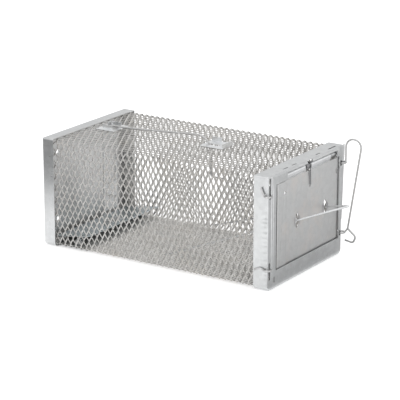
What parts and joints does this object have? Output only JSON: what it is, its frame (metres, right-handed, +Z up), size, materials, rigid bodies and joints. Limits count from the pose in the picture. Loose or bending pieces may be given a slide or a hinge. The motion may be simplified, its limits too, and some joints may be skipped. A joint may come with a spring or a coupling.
{
  "type": "live catch trap",
  "caption": "Galvanised mesh cage trap with an inward-swinging sprung door, floor treadle and roof trip rod that drops the door behind a live rodent.",
  "frame": {"origin": "middle of the outline on the face the cage stands on", "axes": "+X along the cage toward the door, +Y across it, +Z up"},
  "size_m": [0.305, 0.1507, 0.1216],
  "materials": {
    "galvanised_sheet": "zinc-coated sheet, dull satin with fine rolling scratches",
    "galvanised_mesh": "zinc-coated expanded mesh, satin strands",
    "steel_wire": "zinc-plated hard-drawn wire, satin",
    "spring_wire": "bright spring wire",
    "zinc_fastener": "zinc-plated steel, satin"
  },
  "bodies": {
    "root": {"front_frame": "galvanised_sheet", "rear_cap": "galvanised_sheet", "mesh_side_near": "galvanised_mesh", "mesh_side_far": "galvanised_mesh", "mesh_roof": "galvanised_mesh", "mesh_floor": "galvanised_mesh", "hinge_pin": "zinc_fastener", "spring_body": "spring_wire", "corner_ties": "steel_wire", "saddle_rear": "galvanised_sheet", "saddle_front": "galvanised_sheet", "treadle_axle": "steel_wire", "axle_brackets": "galvanised_sheet"},
    "door": {"door_panel": "galvanised_sheet", "lever_guides": "zinc_fastener", "spring_door_leg": "spring_wire"},
    "lever": {"door_lever": "steel_wire"},
    "treadle": {"treadle_plate": "galvanised_sheet", "trip_upright": "galvanised_sheet", "treadle_rivets": "zinc_fastener", "bait_hook": "steel_wire"},
    "rod": {"trip_rod": "steel_wire"},
    "side_rod": {"side_rod": "steel_wire"}
  },
  "joints": [
    {"name": "door_hinge", "type": "hinge", "parent": "root", "child": "door", "pos_m": [0.1087, 0, 0.106], "axis": [0, 1, 0], "range_deg": [0, 76], "stiffness_Nm_per_rad": 0.02, "springref_deg": -57.3},
    {"name": "lever_pivot", "type": "hinge", "parent": "door", "child": "lever", "pos_m": [0.11095, 0.0125, 0.0565], "axis": [0, 1, 0], "range_deg": [-51, 0]},
    {"name": "treadle_pivot", "type": "hinge", "parent": "root", "child": "treadle", "pos_m": [-0.1205, 0, 0.006], "axis": [0, 1, 0], "range_deg": [0, 3.5]},
    {"name": "trip_rod_slide", "type": "slide", "parent": "root", "child": "rod", "axis": [1, 0, 0], "range_m": [0, 0.0068]},
    {"name": "side_rod_swing", "type": "hinge", "parent": "root", "child": "side_rod", "pos_m": [0.1125, 0.071, 0.058], "axis": [0, 0, 1], "range_deg": [-70, 70]}
  ],
  "couplings": [
    {"joint": "lever_pivot", "follows": "door_hinge", "ratio": -0.66},
    {"joint": "trip_rod_slide", "follows": "treadle_pivot", "m_per_rad": 0.1086}
  ]
}
